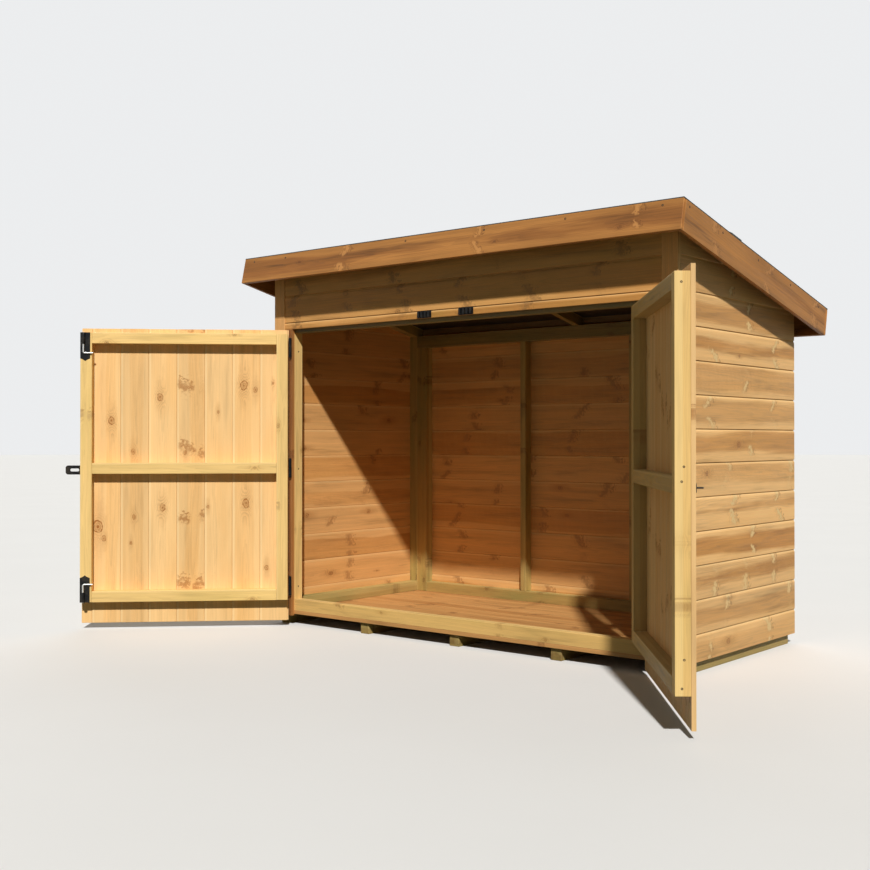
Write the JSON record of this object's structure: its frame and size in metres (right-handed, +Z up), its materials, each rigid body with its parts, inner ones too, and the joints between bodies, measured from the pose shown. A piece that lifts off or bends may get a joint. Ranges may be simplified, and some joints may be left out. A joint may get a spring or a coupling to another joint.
{
  "type": "bike store shed",
  "caption": "Timber bike store with boarded walls, a pent roof falling to the back and double front doors on hinges.",
  "frame": {"origin": "centre of the store's footprint at ground level, on the underside of the middle bearer", "axes": "+X along the front to the right seen from the doors, +Y into the store, +Z up"},
  "size_m": [2.9178, 1.7929, 1.5581],
  "materials": {
    "cladding": "planed, treated softwood",
    "door_boards": "planed, treated softwood",
    "framing_timber": "sawn, green-treated softwood",
    "floor_boards": "planed, treated softwood",
    "roof_boards": "plain softwood",
    "fascia_timber": "planed, treated softwood",
    "felt": "mineral felt",
    "black_iron": "black, satin",
    "bright_steel": "zinc plated"
  },
  "bodies": {
    "store": {"bearers": "framing_timber", "floor_deck": "floor_boards", "left_wall": "cladding", "right_wall": "cladding", "back_wall": "cladding", "front_header": "cladding", "left_corner_trim": "cladding", "right_corner_trim": "cladding", "left_jamb_board": "cladding", "right_jamb_board": "cladding", "left_wall_posts": "framing_timber", "right_wall_posts": "framing_timber", "left_wall_rails": "framing_timber", "right_wall_rails": "framing_timber", "back_wall_rails": "framing_timber", "back_wall_posts": "framing_timber", "left_jamb_post": "framing_timber", "right_jamb_post": "framing_timber", "front_top_rail": "framing_timber", "header_rail": "framing_timber", "sill": "framing_timber", "rafters": "framing_timber", "roof_deck": "roof_boards", "roof_felt": "felt", "front_fascia": "fascia_timber", "rear_fascia": "fascia_timber", "left_fascia": "fascia_timber", "right_fascia": "fascia_timber", "header_catches": "black_iron", "left_jamb_hinges": "black_iron", "right_jamb_hinges": "black_iron"},
    "left_door": {"left_door_boards": "door_boards", "left_door_stiles": "framing_timber", "left_door_rails": "framing_timber", "left_door_hinges": "black_iron", "left_door_bolt_guides": "black_iron", "hasp_plate": "black_iron"},
    "right_door": {"right_door_boards": "door_boards", "right_door_stiles": "framing_timber", "right_door_rails": "framing_timber", "right_door_hinges": "black_iron", "staple": "black_iron"},
    "hasp": {"hasp_strap": "black_iron"},
    "top_bolt": {"upper_bolt": "bright_steel"},
    "foot_bolt": {"lower_bolt": "bright_steel"}
  },
  "joints": [
    {"name": "left_door_hinge", "type": "hinge", "parent": "store", "child": "left_door", "pos_m": [-0.862, -0.4705, 0], "axis": [0, 0, -1], "range_deg": [-135, 35]},
    {"name": "right_door_hinge", "type": "hinge", "parent": "store", "child": "right_door", "pos_m": [0.862, -0.4705, 0], "axis": [0, 0, 1], "range_deg": [-128, 42]},
    {"name": "hasp_hinge", "type": "hinge", "parent": "left_door", "child": "hasp", "pos_m": [-1.46658, -1.07366, 0.658], "axis": [0, 0, -1], "range_deg": [0, 170]},
    {"name": "top_bolt_slide", "type": "slide", "parent": "left_door", "child": "top_bolt", "axis": [0, 0, 1], "range_m": [0, 0.028]},
    {"name": "foot_bolt_slide", "type": "slide", "parent": "left_door", "child": "foot_bolt", "axis": [0, 0, -1], "range_m": [0, 0.028]}
  ]
}
